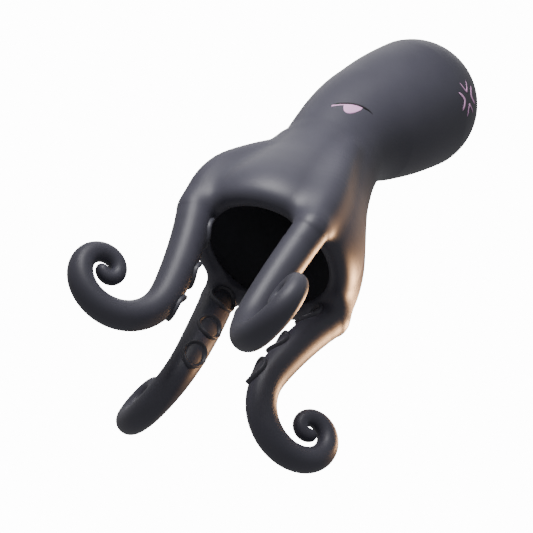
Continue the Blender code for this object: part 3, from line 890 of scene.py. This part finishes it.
    def build(self) -> None:
        """The skin, in one piece over the bent neck."""
        cell = DETAIL.cell
        low = np.array([-0.2365, -0.2365, self.paths[0].start_z - 0.125])
        high = np.array([0.2365, 0.2365, self.neck.z + self.head_centre + self.head_r + 0.012])
        counts = np.ceil((high - low) / cell).astype(int) + 1
        values = self.skin_values(low, counts, cell)
        points, faces = surface_of(values, low, cell)
        r = np.hypot(points[:, 0], points[:, 1])
        depth = self.outline_distance(r, points[:, 2])
        # Faces deep inside the cavity take the lighter copy of the skin: painted light inside the mouth.
        inner = (depth < -self.wall * 0.5)[faces].all(axis=1)
        piece = make_piece("octopus_skin", self.leant(points), faces.tolist(), SKIN)
        piece.data.materials.append(CAVITY_PAINTED_LIGHT.material())
        piece.data.polygons.foreach_set("material_index", inner.astype(np.int32))
        quarters = ("front_left", "back_left", "back_right", "front_right")
        stood_for = [f"web_{q}" for q in quarters] + [f"gore_{q}" for q in quarters]
        stood_for += [f"shoulder_{path.name}" for path in self.paths] + ["crown", "neck_ring"]
        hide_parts(*stood_for)
        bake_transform(piece)


@dataclass
class Face:
    """Heavy-lidded eyes, and a four-stroke frown mark behind the crown's left side."""

    trunk: Trunk
    eye_bearing: float = radians(61.7)
    eye_height: float = 0.0227
    eye_half: float = 0.030
    eye_deep: float = 0.0225
    eye_rise: float = 0.0303
    lid_run: float = 0.0855
    mark_bearing: float = radians(116.0)
    mark_height: float = 0.318
    stroke: float = 0.0033
    corner: float = 0.0150
    blunt: float = 0.04
    wide: tuple = (0.0210, 0.0120)
    steep: tuple = (0.0135, 0.0240)

    def patch(self, name: str, across: np.ndarray, up: np.ndarray, lift: np.ndarray,
              centre: tuple, finish: Finish) -> bpy.types.Object:
        """A thin closed piece that hugs the head.

        Args:
            name: the piece's name.
            across: a grid of distances sideways from the centre.
            up: a grid of distances up from it.
            lift: a grid of heights over the skin.
            centre: bearing and height of the centre.
            finish: its finish.

        Returns:
            The piece, riding on the head.
        """
        height = centre[1] + up
        start = int(np.argmin(self.trunk.line[:60, 1]))
        r = np.interp(self.trunk.neck.z + height, self.trunk.line[start:, 1], self.trunk.line[start:, 0])
        bearing = centre[0] + across / r
        top = self.trunk.over_head(bearing, height, lift)
        foot = self.trunk.over_head(bearing, height, np.full(lift.shape, -0.0020))
        points, faces = closed_sheet(top, foot)
        piece = make_piece(name, points, faced_out(points, faces), finish)
        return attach(piece, "head")

    def lid_height(self, across: np.ndarray) -> np.ndarray:
        """Height of the lid line over the eye's inner corner."""
        share = np.clip((across + self.eye_half) / self.lid_run, 0, 1)
        return self.eye_rise * np.sin(share * pi / 2)

    def make_eye(self, side: Side) -> None:
        """An eye and its lid line.

        Args:
            side: the side of the head.
        """
        name = side.name.lower()
        way = side.value
        centre = (way * self.eye_bearing, self.eye_height)
        a = np.linspace(-self.eye_half, self.eye_half, 61)[:, None]
        down = np.linspace(0, 1, 15)[None]
        iris = np.clip(1 - ((a - 0.40 * self.eye_half) / (0.62 * self.eye_half)) ** 2, 0, 1)
        depth = 0.0028 + self.eye_deep * iris ** 0.8
        up = self.lid_height(a) + 0.0014 - (depth + 0.0014) * down
        rim = np.clip(np.minimum(1 - down, 1.0) * depth / 0.0020, 0, 1) ** 0.5
        ends = np.clip((self.eye_half - np.abs(a)) / 0.0020, 0, 1) ** 0.5
        lift = 0.0012 * rim * ends - 0.0004
        eye = self.patch(f"eye_{name}_patch", way * a + 0 * down, up, lift, centre, LILAC)
        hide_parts(f"eye_{name}")
        t = np.linspace(0, 1, 81)[:, None]
        w = np.linspace(-1, 1, 9)[None]
        a = self.lid_run * t - self.eye_half
        half = 0.0024 * np.clip(np.minimum(t / 0.10, (1 - t) / 0.35), 0, 1) ** 0.6 + 0.0002
        up = self.lid_height(a) + 0.0022 + half * w
        lift = 0.0028 * np.sqrt(np.clip(1 - w * w, 0, 1)) * half / 0.0026 - 0.0003
        lid = self.patch(f"lid_{name}_line", way * a + 0 * w, up, lift, centre, PIPING)
        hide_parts(f"lid_{name}")

    def make_mark(self) -> None:
        """Four bent strokes, each lilac with a thin dark edge."""
        for number in range(4):
            turn = pi + number * pi / 2
            spread, depth = (self.steep, self.wide)[number % 2]
            layers = (("edge", PIPING, 0.0011, 0.0007), ("stroke", LILAC, 0.0, 0.0016))
            for label, finish, grow, high in layers:
                t = np.linspace(-1, 1, 41)[:, None] * (1 + grow / spread)
                w = np.linspace(-1, 1, 9)[None]
                taper = np.clip((1 + grow / spread - np.abs(t)) / 0.30, self.blunt, 1) ** 0.5
                away = self.corner + depth * np.abs(t) ** 1.4 + w * (self.stroke + grow) * taper
                across = away * cos(turn) - spread * t * sin(turn)
                up = away * sin(turn) + spread * t * cos(turn)
                lift = high * np.sqrt(np.clip(1 - w ** 4, 0, 1)) * taper - 0.0003
                piece = self.patch(f"frown_{label}_{number + 1}", across, up, lift,
                                   (self.mark_bearing, self.mark_height), finish)
                if finish is LILAC:
                    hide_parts(f"frown_mark_{number + 1}")

    def build(self) -> None:
        """Both eyes and the mark."""
        for side in Side:
            self.make_eye(side)
        self.make_mark()


@dataclass
class TowGear:
    """The hoop in the mouth's lip, and the webbing tabs and rings that take a bridle."""

    mouth_z: float
    wall: float
    hoop_r: float = 0.159
    hoop_rod: float = 0.0045
    ring_r: float = 0.0105
    wire_r: float = 0.0018

    def torus(self, name: str, centre: np.ndarray, axes: tuple, sizes: tuple,
              finish: Finish) -> bpy.types.Object:
        """A ring of round wire.

        Args:
            name: the piece's name.
            centre: its middle.
            axes: two directions in its plane.
            sizes: its radius and its wire's radius.
            finish: its finish.

        Returns:
            The piece.
        """
        big, small = 72, 16
        u, v = (np.array(axis) for axis in axes)
        normal = np.cross(u, v)
        rings = []
        for turn in 2 * pi * np.arange(big) / big:
            out = cos(turn) * u + sin(turn) * v
            wire = [centre + out * (sizes[0] + sizes[1] * cos(w)) + normal * (sizes[1] * sin(w))
                    for w in 2 * pi * np.arange(small) / small]
            rings.append(wire)
        points = np.array(rings).reshape(-1, 3)
        faces = grid_faces(big, small, True)
        last = (big - 1) * small
        faces += [[last + j, last + (j + 1) % small, (j + 1) % small, j] for j in range(small)]
        return make_piece(name, points, faced_out(points, faces), finish)

    def build(self) -> None:
        """Hoop, tabs and rings."""
        lift = self.mouth_z - 0.0090 + self.wall + self.hoop_rod
        hoop = self.torus("lip_hoop", AXIS + np.array([0, 0, lift]), ((1, 0, 0), (0, 1, 0)),
                          (self.hoop_r, self.hoop_rod), ROD)
        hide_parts("mouth_hoop")
        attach(hoop, "skirt")
        for name in ("front", "back"):
            tab = frame["nodes"][f"tow_tab_{name}"]
            tab.data.materials.clear()
            tab.data.materials.append(WEBBING.material())
            joint = JOINTS[f"tow_ring_{name}_swing"]
            centre = np.array(joint["pos_m"]) - np.array([0, 0, self.ring_r])
            ring = self.torus(f"tow_ring_{name}_wire", centre, (joint["axis"], (0, 0, 1)),
                              (self.ring_r, self.wire_r), STEEL)
            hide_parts(f"tow_ring_{name}")
            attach(ring, f"tow_ring_{name}")


# ---------------------------------------------------------------- studio
@dataclass
class Studio:
    """Camera from below and to the left of the kite, soft lights, a pale floor far below."""

    middle: Vector
    right: Vector = field(default_factory=lambda: Vector((0.502, 0.756, 0.419)))
    up: Vector = field(default_factory=lambda: Vector((0.391, -0.631, 0.670)))
    near: Vector = field(default_factory=lambda: Vector((0.771, -0.173, -0.612)))
    distance: float = 4.856
    lens: float = 164.0
    aim_right: float = 0.0799
    aim_up: float = 0.1146
    floor_z: float = -3.4

    def make_camera(self) -> None:
        """The camera, rolled so that the head lies to the upper right."""
        data = bpy.data.cameras.new("camera")
        data.lens = self.lens
        data.clip_end = 100.0
        camera = bpy.data.objects.new("camera", data)
        bpy.context.scene.collection.objects.link(camera)
        aim = self.right * self.aim_right + self.up * self.aim_up - self.near * self.distance
        forward = aim.normalized()
        sideways = forward.cross(self.up).normalized()
        upwards = sideways.cross(forward)
        turn = Matrix((sideways, upwards, -forward)).transposed().to_4x4()
        camera.matrix_world = Matrix.Translation(self.middle + self.near * self.distance) @ turn
        bpy.context.scene.camera = camera

    def add_softbox(self, name: str, aim: tuple, way: tuple, sizes: tuple, power: float,
                    colour: tuple) -> None:
        """A square soft light aimed at a part of the kite.

        Args:
            name: its name.
            aim: the place it lights, to the right of and above the skirt's middle.
            way: its direction from there as shares of right, up and near.
            sizes: its distance and its side in metres, and its beam's spread in degrees.
            power: watts.
            colour: its colour.
        """
        data = bpy.data.lights.new(name, "AREA")
        data.energy = power
        data.size = sizes[1]
        data.spread = radians(sizes[2])
        data.color = colour
        light = bpy.data.objects.new(name, data)
        bpy.context.scene.collection.objects.link(light)
        direction = (self.right * way[0] + self.up * way[1] + self.near * way[2]).normalized()
        target = self.middle + self.right * aim[0] + self.up * aim[1]
        light.location = target + direction * sizes[0]
        light.visible_camera = False
        light.rotation_euler = (-direction).to_track_quat("-Z", "Y").to_euler()

    def make_world(self) -> None:
        """Bright white to the eye, dimmer as light on the kite."""
        world = bpy.data.worlds.new("pale_room")
        bpy.context.scene.world = world
        world.use_nodes = True
        nodes, links = world.node_tree.nodes, world.node_tree.links
        back = nodes["Background"]
        back.inputs["Color"].default_value = (1.0, 1.0, 1.0, 1.0)
        path = nodes.new("ShaderNodeLightPath")
        strength = nodes.new("ShaderNodeMapRange")
        strength.inputs["To Min"].default_value = 0.32
        strength.inputs["To Max"].default_value = 14.0
        links.new(path.outputs["Is Camera Ray"], strength.inputs["Value"])
        links.new(strength.outputs["Result"], back.inputs["Strength"])

    def make_floor(self) -> None:
        """A wide pale floor."""
        mesh = bpy.data.meshes.new("floor")
        half = 30.0
        mesh.from_pydata([(-half, -half, self.floor_z), (half, -half, self.floor_z),
                          (half, half, self.floor_z), (-half, half, self.floor_z)], [], [(0, 1, 2, 3)])
        finish = bpy.data.materials.new("pale_floor")
        finish.use_nodes = True
        shader = finish.node_tree.nodes["Principled BSDF"]
        shader.inputs["Base Color"].default_value = (0.86, 0.86, 0.86, 1.0)
        shader.inputs["Roughness"].default_value = 0.9
        shader.inputs["Emission Color"].default_value = (1.0, 1.0, 1.0, 1.0)
        rays = finish.node_tree.nodes.new("ShaderNodeLightPath")
        glow = finish.node_tree.nodes.new("ShaderNodeMath")
        glow.operation = "MULTIPLY"
        glow.inputs[1].default_value = 14.0
        finish.node_tree.links.new(rays.outputs["Is Camera Ray"], glow.inputs[0])
        finish.node_tree.links.new(glow.outputs[0], shader.inputs["Emission Strength"])
        mesh.materials.append(finish)
        floor = bpy.data.objects.new("floor", mesh)
        bpy.context.scene.collection.objects.link(floor)

    def build(self) -> None:
        """Camera, world, floor and lights."""
        self.make_camera()
        self.make_world()
        self.make_floor()
        self.add_softbox("key", (0.34, 0.48), (-0.30, 0.88, 0.38), (1.2, 0.8, 90.0), 8.6, (1.0, 0.99, 1.0))
        self.add_softbox("rim", (0.26, 0.04), (0.66, -0.30, -0.69), (0.60, 0.18, 70.0), 2.6,
                         (1.0, 0.55, 0.26))
        self.add_softbox("fill", (0.10, 0.25), (0.10, 0.55, -0.83), (3.0, 2.0, 180.0), 14.0, (1.0, 0.99, 1.0))


def main() -> None:
    """Build the studio, then the kite piece by piece."""
    logging.basicConfig(level=logging.INFO, format="%(name)s: %(message)s")
    paths = [ArmPath("front", -1.4, 1.0023, 0.022), ArmPath("left", 0.7, 1.0079, 0.002),
             ArmPath("right", -5.0, 0.9945, 0.002), ArmPath("back", -2.3, 1.000, 0.0)]
    start_z = paths[0].start_z
    mouth_z = start_z + 0.0235
    Studio(Vector((NECK.x, NECK.y, start_z - 0.1818))).build()
    trunk = Trunk(paths, NECK, mouth_z)
    trunk.build()
    for path in paths:
        Arm(path).build()
    Face(trunk).build()
    TowGear(mouth_z, trunk.wall).build()


if __name__ == "__main__":
    main()
